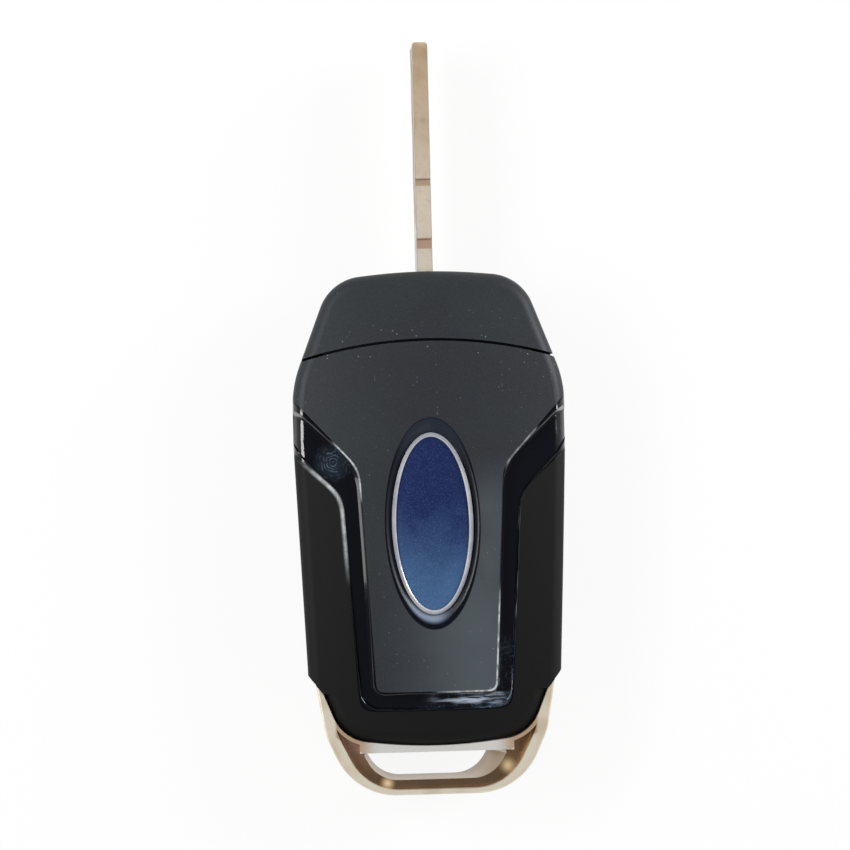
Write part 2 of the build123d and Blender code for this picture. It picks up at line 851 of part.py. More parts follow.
os.makedirs("parts", exist_ok=True)
for name, solid in parts.items():
    export_step(shift * solid, f"parts/{name}.step")
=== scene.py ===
import bpy
from math import atan, cos, hypot, pi, prod, radians, sin
from mathutils import Euler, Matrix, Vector


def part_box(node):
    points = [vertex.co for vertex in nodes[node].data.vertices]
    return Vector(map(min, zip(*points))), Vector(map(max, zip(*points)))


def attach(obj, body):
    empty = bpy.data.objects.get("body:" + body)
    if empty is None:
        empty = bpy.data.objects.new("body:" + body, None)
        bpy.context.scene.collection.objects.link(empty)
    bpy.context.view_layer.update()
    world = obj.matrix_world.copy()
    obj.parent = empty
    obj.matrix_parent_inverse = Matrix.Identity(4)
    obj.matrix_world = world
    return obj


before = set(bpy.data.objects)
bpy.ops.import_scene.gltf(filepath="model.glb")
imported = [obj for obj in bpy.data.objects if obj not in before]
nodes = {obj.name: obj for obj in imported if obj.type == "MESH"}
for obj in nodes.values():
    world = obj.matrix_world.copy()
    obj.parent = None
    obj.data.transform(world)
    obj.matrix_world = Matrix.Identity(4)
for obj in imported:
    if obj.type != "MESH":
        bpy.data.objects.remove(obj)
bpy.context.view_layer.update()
mm = 0.001
print("frame loaded:", len(nodes), "nodes")

# Finishes are laid out in mm from a point on the middle line, badgeAhead below the badge's middle
badgeAhead = 1.2
badgeLow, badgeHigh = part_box("badge_lens")
originY = (badgeLow.y + badgeHigh.y) / 2 / mm - badgeAhead


# Camera, above the badge and a little to its left, turned as the remote lies in the picture

cameraSetup = {
    "aim": (-0.0004, -0.00112, 0.009),
    "away": 0.450,
    "leftOfPlumb": 2.4,
    "turn": -1.4,
    "sensor": 36.0,
    "imageWidth": 0.12317,
    "clipStart": 0.01,
}


def makeCamera(setup):
    data = bpy.data.cameras.new("camera")
    data.sensor_width = setup["sensor"]
    data.lens = setup["sensor"] * setup["away"] / setup["imageWidth"]
    data.clip_start = setup["clipStart"]
    camera = bpy.data.objects.new("camera", data)
    tilt = Euler((0, -radians(setup["leftOfPlumb"]), 0)).to_matrix()
    turn = Euler((0, 0, radians(setup["turn"]))).to_matrix()
    camera.location = Vector(setup["aim"]) + tilt @ Vector((0, 0, setup["away"]))
    camera.rotation_euler = (tilt @ turn).to_euler()
    bpy.context.collection.objects.link(camera)
    bpy.context.scene.camera = camera


makeCamera(cameraSetup)
bpy.context.scene.view_settings.view_transform = "Standard"
print("camera made")


# Node helpers

mixSockets = {"factor": 0, "first": 6, "second": 7, "result": 2}  # of a Mix node set to colours


class Wire:  # wraps a socket, so that sums and products of sockets add their Math nodes
    def __init__(self, tree, socket):
        self.tree = tree
        self.socket = socket

    def node(self, kind, settings=None, sockets=None, output=0):
        return addNode(self.tree, kind, settings, sockets, output)

    def math(self, operation, *values):
        return self.node("Math", {"operation": operation}, dict(enumerate(values)))

    def __add__(self, other):
        return self.math("ADD", self, other)

    def __radd__(self, other):
        return self.math("ADD", other, self)

    def __sub__(self, other):
        return self.math("SUBTRACT", self, other)

    def __rsub__(self, other):
        return self.math("SUBTRACT", other, self)

    def __mul__(self, other):
        return self.math("MULTIPLY", self, other)

    def __rmul__(self, other):
        return self.math("MULTIPLY", other, self)

    def __truediv__(self, other):
        return self.math("DIVIDE", self, other)

    def __abs__(self):
        return self.math("ABSOLUTE", self)

    def __pow__(self, other):
        return self.math("POWER", self, other)

    def sine(self):
        return self.math("SINE", self)

    def least(self, other, soft=0):
        return self.math("SMOOTH_MIN", self, other, soft)

    def most(self, other, soft=0):
        return self.math("SMOOTH_MAX", self, other, soft)

    def toward(self, other, share):
        return self + share * (other - self)

    def ramp(self, low, high, start=0.0, end=1.0):  # start at low, end at high, held outside
        sockets = {"From Min": low, "From Max": high, "To Min": start, "To Max": end}
        sockets["Value"] = self
        return self.node("MapRange", {"interpolation_type": "SMOOTHSTEP"}, sockets)

    def parts(self):
        return [self.node("SeparateXYZ", None, {0: self}, axis) for axis in "XYZ"]


def addNode(tree, kind, settings=None, sockets=None, output=0):
    node = tree.nodes.new("ShaderNode" + kind)
    for name, value in (settings or {}).items():
        setattr(node, name, value)
    for name, value in (sockets or {}).items():
        if isinstance(value, Wire):
            tree.links.new(value.socket, node.inputs[name])
        elif node.inputs[name].type == "RGBA":
            node.inputs[name].default_value = (*value, 1)
        else:
            node.inputs[name].default_value = value
    return Wire(tree, node.outputs[output])


def colour(red, green, blue):  # screen values 0 to 255 made linear
    return tuple((value / 255) ** 2.2 for value in (red, green, blue))


class Finish:  # one material, with the sockets that its recipe draws on
    def __init__(self, name):
        self.material = bpy.data.materials.new(name)
        self.material.use_nodes = True
        self.tree = self.material.node_tree
        self.shader = self.tree.nodes["Principled BSDF"]
        self.place = self.node("TexCoord", output="Object")

    def node(self, kind, settings=None, sockets=None, output=0):
        return addNode(self.tree, kind, settings, sockets, output)

    def places(self):  # where a point of the surface lies, in mm
        x, y, z = [part / mm for part in self.place.parts()]
        return {"side": x, "half": abs(x), "along": y - originY, "height": z}

    def noise(self, size, detail=2.0, rough=0.5, stretch=None):
        place = self.place
        if stretch:
            place = self.node("Mapping", None, {"Vector": place, "Scale": stretch})
        sockets = {"Vector": place, "Scale": 1 / size, "Detail": detail, "Roughness": rough}
        return self.node("TexNoise", None, sockets)

    def cells(self, size, output):
        return self.node("TexVoronoi", None, {"Vector": self.place, "Scale": 1 / size}, output)

    def cellPick(self, size):  # a value from 0 to 1 that differs from cell to cell
        return self.node("SeparateColor", None, {0: self.cells(size, "Color")})

    def specks(self, size, spacing, share):  # scattered dots, one in a share of the cells
        edge = size / spacing
        lucky = self.cellPick(spacing).ramp(1 - share, 1 - share + 0.01)
        return self.cells(spacing, "Distance").ramp(edge, edge * 0.5) * lucky

    def mix(self, factor, first, second):
        values = {"factor": factor, "first": first, "second": second}
        sockets = {mixSockets[name]: value for name, value in values.items()}
        return self.node("Mix", {"data_type": "RGBA"}, sockets, mixSockets["result"])

    def bump(self, height, depth, strength):
        sockets = {"Height": height, "Distance": depth, "Strength": strength}
        return self.node("Bump", None, sockets)

    def set(self, **sockets):
        for name, value in sockets.items():
            socket = self.shader.inputs[name.replace("_", " ")]
            if isinstance(value, Wire):
                self.tree.links.new(value.socket, socket)
            elif socket.type == "RGBA":
                socket.default_value = (*value, 1)
            else:
                socket.default_value = value
        return self.material


def distance(places, spot):  # from a spot given by its side and along
    side, along = spot
    return ((places["side"] - side) ** 2 + (places["along"] - along) ** 2) ** 0.5


# A mask is a product of ramps, each 0 at the first value of a place and 1 at the second

def drawMasks(places, masks):
    return {
        name: prod(places[place].ramp(zeroAt, oneAt) for place, zeroAt, oneAt in ramps)
        for name, ramps in masks.items()
    }


# Satin plastic of the cap and of the cover's tongue, dusty, with a grey film low and a painted
# sheen at the right

plasticSpecular = 0.24
satinLook = {
    "colour": colour(44, 46, 50),
    "tint": colour(42, 47, 49),
    "grainColour": colour(60, 62, 66),
    "filmAndSheenColour": colour(82, 89, 94),
    "dustColour": colour(180, 184, 188),
    "rough": (0.44, 0.54),
    "filmAndSheen": (0.42, 0.7),
    "grainDepth": 0.00003,
    "grainStrength": 0.45,
    "seam": {"top": 27.4, "radius": 65.0},
    "sizes": {"cloud": 0.012, "grain": 0.00022, "patch": 0.005, "lint": 0.00009},
    "shares": {
        "grain": 0.35, "rightSheen": 0.9, "patch": 0.4,
        "fineDust": 0.5, "coarseDust": 0.8, "lint": 0.55,
    },
    "fineDust": {"size": 0.0001, "spacing": 0.00055, "share": 0.18},
    "coarseDust": {"size": 0.00015, "spacing": 0.002, "share": 0.14},
    "masks": {
        "lowFilm": (("along", 8, -15), ("side", -10, 7)),
        "rightSheen": (("side", 2, 9), ("along", 12, 3)),
        "bySeam": (("seam", 4.0, 0.3),),
        "inSeam": (("seam", 0.42, 0.2),),
        "lowRight": (("side", 0, 5), ("along", -12, -20)),
    },
}


def satinParts(finish, look):  # its colour, roughness and grain
    places, seam = finish.places(), look["seam"]
    places["seam"] = abs(distance(places, (0, seam["top"] - seam["radius"])) - seam["radius"])
    masks, sizes, shares = drawMasks(places, look["masks"]), look["sizes"], look["shares"]
    cloud = finish.noise(sizes["cloud"])
    grain = finish.noise(sizes["grain"], rough=0.6)
    base = finish.mix(cloud.ramp(0.4, 0.65), look["colour"], look["tint"])
    base = finish.mix(grain.ramp(0.35, 0.75) * shares["grain"], base, look["grainColour"])
    # a grey film low on the tongue, and a painted sheen that lightens its right side
    filmAndSheen = masks["lowFilm"].most(masks["rightSheen"] * shares["rightSheen"])
    base = finish.mix(filmAndSheen * cloud.ramp(0.25, 0.6, *look["filmAndSheen"]), base, look["filmAndSheenColour"])
    # dust lies along the seam, low on the right and in patches, and lint in the seam
    patches = finish.noise(sizes["patch"], 1.0).ramp(0.42, 0.6)
    dusty = masks["bySeam"].most(masks["lowRight"]).most(patches * shares["patch"])
    fine = finish.specks(**look["fineDust"]) * dusty
    coarse = finish.specks(**look["coarseDust"]) * dusty.ramp(0.3, 0.9)
    lint = finish.noise(sizes["lint"], 3.0, 0.7).ramp(0.62, 0.72) * masks["inSeam"]
    dust = (fine * shares["fineDust"]).most(coarse * shares["coarseDust"])
    base = finish.mix(dust.most(lint * shares["lint"]), base, look["dustColour"])
    return base, cloud.ramp(0.3, 0.7, *look["rough"]), grain


def makeSatin(name, look):
    finish = Finish(name)
    base, rough, grain = satinParts(finish, look)
    soft = finish.bump(grain, look["grainDepth"], look["grainStrength"])
    return finish.set(
        Base_Color=base, Roughness=rough, Normal=soft, Specular_IOR_Level=plasticSpecular,
    )


# Rear cover: a satin tongue with a dish for the badge, a gloss channel round it, and matte wings

coverLook = {
    "tongue": {
        "elbow": (10.46, 9.1), "elbowRound": 8.0, "foot": (8.75, -23.0), "footRound": 1.6,
        "rise": 1.084,
    },
    "channel": {
        "elbow": (12.55, 5.4), "elbowRound": 8.0, "foot": (10.75, -25.35), "footRound": 3.0,
        "rise": 0.909,
    },
    "dish": {"middle": 1.2, "halfWidth": 6.75, "halfLength": 14.95},
    "fingerprint": {"middle": (-13.9, 10.2), "spacing": 0.52, "wander": 1.8},
    "hairs": {"size": 0.0022, "width": 0.018, "detail": 1.0},
    "fineHairs": {"size": 0.0013, "width": 0.022, "detail": 0.0},
    "glossColour": colour(15, 17, 23),
    "dishColour": colour(17, 20, 28),
    "dishTopReflection": colour(38, 44, 52),
    "dishGleam": colour(150, 166, 188),
    "matteColour": colour(6, 7, 6),
    "matteGrain": colour(15, 17, 14),
    "edgeHighlightColour": colour(186, 190, 192),
    "scuffColour": colour(96, 114, 134),
    "streakHighlightColour": colour(196, 210, 228),
    "glossRough": (0.08, 0.15),
    "scuffRough": 0.2,
    "dishRough": 0.22,
    "wingRough": 0.62,
    "coat": 0.75,
    "coatRough": 0.05,
    "highlightLine": 0.16,
    "sizes": {
        "grain": 0.00012, "highlightPatch": 0.0011, "scuff": 0.0018, "wander": 0.0016,
        "gap": 0.0009, "streak": 0.0006, "swirl": 0.0012,
    },
    "shares": {
        "grain": 0.3, "gleam": 0.6, "rightElbow": 0.6, "fineHairs": 0.6, "hairs": 0.6,
        "scuff": 0.16, "ridge": 0.55, "grease": 0.1, "streak": 0.8,
    },
    "masks": {
        "tongue": (("tongue", -0.2, -0.32), ("dish", 1.0, 1.02)),
        "dish": (("dish", 1.02, 0.99),),
        "wall": (("height", 13.6, 13.3), ("half", 18.4, 18.8)),
        "wing": (("channel", 0.12, 0.3),),
        "channel": (("tongue", -0.1, 0.1), ("channel", 0.1, -0.1)),
        "dishTopReflection": (("along", 9, 15),),
        "gleam": (("dish", 0.86, 0.89), ("dish", 0.97, 0.91), ("along", -8, -12), ("side", 3, 0)),
        "highlightLine": (("tongueLine", 0.17, 0.05),),
        "lowRight": (("side", 3, 7), ("along", -7, -12)),
        "foot": (("side", -1, 3), ("along", -20, -22)),
        "leftElbow": (("side", -8.5, -9.5), ("along", 4, 6.5), ("along", 13.5, 12)),
        "rightElbow": (("side", 10.2, 11.5), ("along", 8, 10), ("along", 15, 13.5)),
        "leftWing": (
            ("channel", -0.05, 0.2), ("channel", 0.8, 0.3),
            ("side", -9, -10), ("along", -8, 1), ("along", 11, 7),
        ),
        "scuff": (("side", -4, 6), ("along", -14, -22)),
        "fingerprint": (("fingerprint", 3.2, 1.0),),
        "streak": (
            ("side", -2, 5), ("side", 10.5, 8), ("along", -22.95, -23.3), ("along", -25.2, -24.2),
        ),
    },
}


def outlineDistance(x, y, line):  # mm outside an outline, with x counted from the middle line
    (elbowX, elbowY), (footX, footY), rise = line["elbow"], line["foot"], line["rise"]
    length = hypot(elbowX - footX, elbowY - footY)
    alongX, alongY = (elbowX - footX) / length, (elbowY - footY) / length
    shoulder = (x * rise - y + (elbowY - rise * elbowX)) / hypot(1, rise)
    side = x * alongY - y * alongX - (footX * alongY - footY * alongX)
    footTurn = pi / 2 - atan(alongX / alongY)
    elbowTurn = footTurn - atan(rise)
    elbowSoft = 4 * line["elbowRound"] * (1 - cos(elbowTurn / 2))
    footSoft = 4 * line["footRound"] * (1 - cos(footTurn / 2))
    return shoulder.least(side.most(footY - y, footSoft), elbowSoft)


def coverPlaces(finish, look):
    places, dish = finish.places(), look["dish"]
    half, along = places["half"], places["along"]
    across, down = half / dish["halfWidth"], (along - dish["middle"]) / dish["halfLength"]
    places["dish"] = (across ** 2 + down ** 2) ** 0.5
    places["tongue"] = outlineDistance(half, along, look["tongue"])
    places["channel"] = outlineDistance(half, along, look["channel"])
    places["tongueLine"] = abs(places["tongue"] + look["highlightLine"])
    places["fingerprint"] = distance(places, look["fingerprint"]["middle"])
    return places


def paintedEdgeHighlights(finish, masks, look):  # painted highlights on the tongue's edge and on the left wing's inner edge
    highlightPatches = finish.noise(look["sizes"]["highlightPatch"], rough=0.6).ramp(0.35, 0.6)
    elbows = masks["leftElbow"].most(masks["rightElbow"] * look["shares"]["rightElbow"])
    tongueSpots = masks["lowRight"].most(masks["foot"]).most(elbows)
    tongueEdge = masks["highlightLine"] * tongueSpots * (0.45 + highlightPatches * 0.55)
    return tongueEdge.most(masks["leftWing"] * (0.6 + highlightPatches * 0.4))


def hairlines(finish, size, width, detail):  # fine curved lines, as a cloth leaves them on gloss
    return abs(finish.noise(size, detail) - 0.5).ramp(width, width * 0.3)


def channelScuffs(finish, places, masks, look):  # hairs at the lower right, a print at the left
    sizes, shares, touch = look["sizes"], look["shares"], look["fingerprint"]
    fineHairs = hairlines(finish, **look["fineHairs"]) * shares["fineHairs"]
    hairs = hairlines(finish, **look["hairs"]).most(fineHairs)
    patches = finish.noise(sizes["scuff"]).ramp(0.4, 0.62)
    scuffs = hairs * shares["hairs"] + patches * shares["scuff"]
    wander = finish.noise(sizes["wander"]) * touch["wander"]
    turns = (places["fingerprint"] + wander) * (2 * pi / touch["spacing"])
    gaps = finish.noise(sizes["gap"], 1.0).ramp(0.4, 0.62)
    ridges = turns.sine().ramp(0.2, 0.95) * gaps * shares["ridge"]
    smudge = (ridges + shares["grease"]) * masks["fingerprint"]
    return (scuffs * masks["scuff"] * (0.1 + patches * 0.9)).most(smudge)


def makeCoverFinish(look):
    finish = Finish("coverPlastic")
    places, sizes, shares = coverPlaces(finish, look), look["sizes"], look["shares"]
    masks = drawMasks(places, look["masks"])
    tongue, dish = masks["tongue"], masks["dish"]
    # the side wall is matte below the channel too
    wing = masks["wing"].most(masks["wall"])
    channel = masks["channel"] * (1 - masks["wall"])
    satin, satinRough, satinGrain = satinParts(finish, satinLook)
    grain = finish.noise(sizes["grain"], rough=0.6)
    specked = grain.ramp(0.35, 0.7) * shares["grain"]
    matte = finish.mix(specked, look["matteColour"], look["matteGrain"])
    # the dish is gloss and painted dark, partly as painted shade in the recess, with a painted
    # reflection at its top and a painted gleam low on its rim at the left
    dished = finish.mix(masks["dishTopReflection"], look["dishColour"], look["dishTopReflection"])
    dished = finish.mix(masks["gleam"] * shares["gleam"], dished, look["dishGleam"])
    scuff = channelScuffs(finish, places, masks, look) * channel
    # pale scratch-like streaks along the channel's foot, painted bright to stand for a highlight
    # there
    streaks = finish.noise(sizes["streak"], rough=0.6, stretch=(0.12, 1, 1)).ramp(0.46, 0.64)
    streaks = streaks * masks["streak"] * channel * shares["streak"]
    base = finish.mix(wing, look["glossColour"], matte)
    base = finish.mix(dish, base, dished)
    base = finish.mix(tongue, base, satin)
    # painted highlights along the tongue's edge and the left wing's inner edge, in a pale colour
    base = finish.mix(paintedEdgeHighlights(finish, masks, look), base, look["edgeHighlightColour"])
    base = finish.mix(scuff, base, look["scuffColour"])
    base = finish.mix(streaks, base, look["streakHighlightColour"])
    swirl = finish.noise(sizes["swirl"], 3.0, 0.7, (1, 0.25, 1))
    gloss = swirl.ramp(0.45, 0.75, *look["glossRough"])
    rough = gloss + scuff * look["scuffRough"] + dish * look["dishRough"]
    rough = rough.toward(look["wingRough"], wing).toward(satinRough, tongue)
    height = grain * wing + satinGrain * tongue
    soft = finish.bump(height, satinLook["grainDepth"], satinLook["grainStrength"])
    return finish.set(
        Base_Color=base, Roughness=rough, Normal=soft, Specular_IOR_Level=plasticSpecular,
        Coat_Weight=channel * look["coat"], Coat_Roughness=look["coatRough"],
    )


# Plain plastics and metals, clouded between two colours

matteLook = {
    "grainSize": 0.00014,
    "grainShare": 0.4,
    "grainDepth": 0.00002,
    "grainStrength": 0.5,
    "cloudSize": 0.008,
    "spread": (-0.05, 0.05),
}
metalLook = {
    "lineSize": 0.00016,
    "lineDepth": 0.000006,
    "lineStrength": 0.6,
    "cloudSize": 0.005,
    "spread": (-0.06, 0.08),
}


def makeMatte(name, first, second, rough):
    finish, look = Finish(name), matteLook
    smooth, coarse = (rough + change for change in look["spread"])
    grain = finish.noise(look["grainSize"], rough=0.6)
    base = finish.mix(grain.ramp(0.35, 0.7) * look["grainShare"], first, second)
    spread = finish.noise(look["cloudSize"]).ramp(0.3, 0.7, smooth, coarse)
    soft = finish.bump(grain, look["grainDepth"], look["grainStrength"])
    return finish.set(
        Base_Color=base, Roughness=spread, Normal=soft, Specular_IOR_Level=plasticSpecular,
    )


def makeMetal(name, first, second, rough, metallic):
    finish, look = Finish(name), metalLook
    smooth, coarse = (rough + change for change in look["spread"])
    lines = finish.noise(look["lineSize"], 3.0, 0.6)
    base = finish.mix(finish.noise(look["cloudSize"]).ramp(0.35, 0.65), first, second)
    spread = lines.ramp(0.3, 0.7, smooth, coarse)
    soft = finish.bump(lines, look["lineDepth"], look["lineStrength"])
    return finish.set(Base_Color=base, Metallic=metallic, Roughness=spread, Normal=soft)


# Badge: deep blue flake paint under a clear dome, with a painted sheen that makes it lighter
# towards its foot

badgeLook = {
    "top": colour(28, 46, 98),
    "foot": colour(88, 130, 180),
    "flakeColour": colour(150, 186, 226),
    "flakeSize": 0.00007,
    "cloudSize": 0.004,
    "cloudShare": 0.12,
    "sheenFade": (-0.004, 0.018),
    "metallic": 0.5,
    "rough": (0.3, 0.42),
    "coatRough": 0.05,
}


def makeBadgeBlue(look):
    finish = Finish("badgeBlue")
    fromFoot = finish.place.parts()[1] - badgeLow.y
    # painted sheen: the blue lightens towards the dome's foot
    up = fromFoot.ramp(*look["sheenFade"])
    flake = finish.cellPick(look["flakeSize"])
    cloud = finish.noise(look["cloudSize"]).ramp(0.35, 0.65)
    base = finish.mix(up + cloud * look["cloudShare"], look["foot"], look["top"])
    base = finish.mix(flake.ramp(0.8, 1.0) * (0.34 - up * 0.2), base, look["flakeColour"])
    return finish.set(
        Base_Color=base, Metallic=look["metallic"], Roughness=flake.ramp(0, 1, *look["rough"]),
        Coat_Weight=1.0, Coat_Roughness=look["coatRough"],
    )


# Key ring loop: a silver bar under the tail, a brown polished web with painted shade and painted
# highlights, and a pale rim round it

loopLook = {
    "barColour": colour(232, 230, 226),
    "rimColour": colour(238, 228, 208),
    "rimShade": colour(206, 188, 160),
    "webUpper": colour(188, 150, 112),
    "webLower": colour(142, 116, 92),
    "webShade": colour(116, 88, 66),
    "webHighlight": colour(250, 224, 176),
    "webPinkHighlight": colour(222, 178, 164),
    "wallColour": colour(210, 194, 174),
    "wallShade": colour(164, 144, 122),
    "shoulderColour": colour(180, 148, 118),
    "webRough": 0.24,
    "rimRough": (0.3, 0.45),
    "metal": {"rim": 0.45, "low": 0.3, "spotHighlight": 0.5},
    "lineDepth": 0.000008,
    "lineStrength": 0.6,
    "shoulderLine": {"slope": 1.63, "offset": 61.24},
    "highlightSpots": {
        "right": {"spot": (10.2, -34.0), "size": 1.6},
        "left": {"spot": (-7.2, -36.1), "size": 1.4},
    },
    "sizes": {"line": 0.00012, "cloud": 0.004},
    "shares": {
        "rimShade": 0.6, "shoulder": 0.85, "webShade": 0.25,
        "pink": 0.7, "spotHighlight": 0.8, "line": 0.35,
    },
    "masks": {
        "low": (("height", 13.15, 12.95),),
        "webFace": (("height", 12.7, 12.78),),
        "bar": (("along", -31.75, -31.65), ("half", 12.0, 9.0)),
        "shoulder": (("shoulder", 1.0, 0.5), ("half", 8, 11.5), ("half", 14.7, 14.2)),
        "webTop": (("along", -35.8, -31.5),),
        "pink": (("side", -8, -12.5), ("along", -33.5, -31)),
        "wallTop": (("height", 3, 11),),
    },
}


def makeLoopFinish(look):
    finish = Finish("loopNickel")
    places, line = finish.places(), look["shoulderLine"]
    places["shoulder"] = places["half"] - places["along"] * line["slope"] - line["offset"]
    masks, sizes, shares = drawMasks(places, look["masks"]), look["sizes"], look["shares"]
    low = masks["low"]
    web = low * masks["webFace"]
    lines = finish.noise(sizes["line"], 3.0, 0.6, (0.2, 1, 1))
    clouds = finish.noise(sizes["cloud"], 1.0, 0.4).ramp(0.4, 0.7)
    rim = finish.mix(clouds * shares["rimShade"], look["rimColour"], look["rimShade"])
    rim = finish.mix(masks["bar"], rim, look["barColour"])
    # the ends of the bar turn brown where they run into the arms
    rim = finish.mix(masks["shoulder"] * shares["shoulder"], rim, look["shoulderColour"])
    # the web is painted lighter at its top and darker at its foot as painted shade, with a
    # painted pink highlight at the upper left
    floor = finish.mix(masks["webTop"], look["webLower"], look["webUpper"])
    floor = finish.mix(clouds * shares["webShade"], floor, look["webShade"])
    floor = finish.mix(masks["pink"] * shares["pink"], floor, look["webPinkHighlight"])
    # painted highlight spots on the web, also made less metallic below so that their colour shows
    highlightSpots = look["highlightSpots"].values()
    spotHighlight = sum(distance(places, spot["spot"]).ramp(spot["size"], 0) for spot in highlightSpots)
    floor = finish.mix(spotHighlight * shares["spotHighlight"], floor, look["webHighlight"])
    wall = finish.mix(masks["wallTop"], look["wallShade"], look["wallColour"])
    base = finish.mix(low, rim, wall)
    base = finish.mix(web, base, floor)
    base = finish.mix(lines.ramp(0.5, 0.75) * shares["line"] * (1 - web), base, look["rimShade"])
    rough = lines.ramp(0.3, 0.7, *look["rimRough"]).toward(look["webRough"], web)
    soft = finish.bump(lines * (1 - web), look["lineDepth"], look["lineStrength"])
    # less metallic at the painted highlight spots
    metal = look["metal"]["rim"] + low * (look["metal"]["low"] - spotHighlight * look["metal"]["spotHighlight"])
    return finish.set(Base_Color=base, Metallic=metal, Roughness=rough, Normal=soft)


# Blade: warm nickel, paler at its root, with brown dirt in and beside the two notches

bladeLook = {
    "rootColour": colour(226, 215, 198),
    "tipColour": colour(196, 172, 142),
    "dirtColour": colour(176, 140, 116),
    "tanColour": colour(170, 144, 112),
    "flatColour": colour(204, 198, 188),
    "flatShade": colour(176, 166, 152),
    "rough": (0.34, 0.5),
    "metal": {"edge": 0.45, "flat": 0.4},
    "lineDepth": 0.000006,
    "lineStrength": 0.6,
    "spot": (0.2, 59.0),
    "sizes": {"line": 0.00014, "cloud": 0.004, "stain": 0.0007},
    "shares": {"flatShade": 0.35, "flat": 0.85, "stain": 0.3, "spot": 0.45},
    "masks": {
        "tipward": (("along", 37.0, 70.4),),
        "flat": (("half", 1.0, 1.06),),
        "nearNotch": (("along", 40.45, 40.7), ("along", 42.25, 42.0)),
        "farNotch": (("along", 49.5, 49.7), ("along", 50.8, 50.6)),
        "spot": (("spot", 0.7, 0.1),),
    },
}


def makeBladeFinish(look):
    finish = Finish("bladeNickel")
    places = finish.places()
    places["spot"] = distance(places, look["spot"])
    masks, sizes, shares = drawMasks(places, look["masks"]), look["sizes"], look["shares"]
    tipward, flat = masks["tipward"], masks["flat"]
    lines = finish.noise(sizes["line"], 3.0, 0.6, (6, 0.3, 1))
    cloud = finish.noise(sizes["cloud"])
    stain = finish.noise(sizes["stain"], 3.0, 0.7).ramp(0.5, 0.75)
    clouded = cloud.ramp(0.35, 0.65) * shares["flatShade"]
    flats = finish.mix(clouded, look["flatColour"], look["flatShade"])
    base = finish.mix(tipward, look["rootColour"], look["tipColour"])
    base = finish.mix(cloud.ramp(0.42, 0.68) * (0.15 + tipward * 0.35), base, look["tanColour"])
    base = finish.mix(flat * shares["flat"], base, flats)
    base = finish.mix(stain * shares["stain"], base, look["tanColour"])
    base = finish.mix(masks["nearNotch"] * (0.8 - flat * 0.5), base, look["dirtColour"])
    base = finish.mix(masks["farNotch"] * (0.7 - flat * 0.4), base, look["tanColour"])
    base = finish.mix(masks["spot"] * shares["spot"], base, look["dirtColour"])
    rough = lines.ramp(0.3, 0.7, *look["rough"])
    metal = look["metal"]["edge"] + flat * look["metal"]["flat"]
    soft = finish.bump(lines, look["lineDepth"], look["lineStrength"])
    return finish.set(Base_Color=base, Metallic=metal, Roughness=rough, Normal=soft)


boardLook = {
    "mask": colour(18, 74, 40),
    "track": colour(30, 98, 54),
    "trackSize": 0.0012,
    "rough": 0.35,
    "coat": 0.4,
}


def makeBoard(look):
    finish = Finish("boardGreen")
    tracks = finish.noise(look["trackSize"], 1.0, stretch=(1, 0.2, 1)).ramp(0.5, 0.52)
    base = finish.mix(tracks, look["mask"], look["track"])
    return finish.set(Base_Color=base, Roughness=look["rough"], Coat_Weight=look["coat"])


def dress(names, material):
    for name in names:
        for materialSlot in nodes[name].material_slots:
            materialSlot.material = material


# each row gives two colours, roughness, for a metal its metallic value too, and the nodes
keyNames = ["lock_key", "unlock_key", "trunk_key", "panic_key"]
switchNames = ["lock_switch", "unlock_switch", "trunk_switch", "panic_switch"]
plastics = {
    "shellMatte": (coverLook["matteColour"], coverLook["matteGrain"], 0.5, ["front_shell"]),
    "keyRubber": (colour(26, 27, 28), colour(40, 41, 42), 0.6, keyNames),
    "chipBlack": (
        colour(22, 22, 24), colour(34, 34, 36), 0.55,
        ["control_chip", "transponder"] + switchNames,
    ),
    "ferriteGrey": (colour(62, 58, 56), colour(84, 80, 76), 0.6, ["antenna_coil"]),
}
metals = {
    "bezelChrome": (colour(226, 227, 232), colour(196, 200, 210), 0.16, 0.55, ["badge_bezel"]),
    "hubZinc": (colour(174, 170, 164), colour(160, 156, 150), 0.4, 0.9, ["blade_hub"]),
    "buttonChrome": (colour(148, 150, 154), colour(138, 140, 145), 0.3, 0.95, ["release_button"]),
    "steel": (
        colour(196, 196, 198), colour(168, 168, 172), 0.28, 0.9,
        ["blade_pin", "flip_spring", "loop_screws", "head_screws", "coin_cell", "crystal"],
    ),
    "contactBrass": (
        colour(214, 180, 110), colour(190, 154, 88), 0.3, 0.9, ["cell_clip", "cell_contact"],
    ),
}
for finishName, (first, second, rough, names) in plastics.items():
    dress(names, makeMatte(finishName, first, second, rough))
for finishName, (first, second, rough, metallic, names) in metals.items():
    dress(names, makeMetal(finishName, first, second, rough, metallic))
dress(["rear_cover"], makeCoverFinish(coverLook))
dress(["head_cap"], makeSatin("capSatin", satinLook))
dress(["badge_lens"], makeBadgeBlue(badgeLook))
dress(["key_blade"], makeBladeFinish(bladeLook))
dress(["key_loop"], makeLoopFinish(loopLook))
dress(["circuit_board"], makeBoard(boardLook))
print("nodes dressed")


# Printed pictograms on the four front keys: closed lock, open lock, tailgate and horn, in mm

printLook = {
    "ink": colour(196, 198, 200),
    "inkShade": colour(170, 172, 174),
    "rough": 0.55,
    "keyFace": 0.3,
    "raise": 0.05,
    "grip": 0.03,
    "cornerSteps": 4,
    "ringSteps": 32,
}
printInk = makeMatte("printInk", printLook["ink"], printLook["inkShade"], printLook["rough"])
printDepth = (printLook["raise"] + printLook["grip"]) * mm
printBase = (printLook["keyFace"] - printLook["raise"]) * mm


def deselect():
    bpy.ops.object.select_all(action="DESELECT")


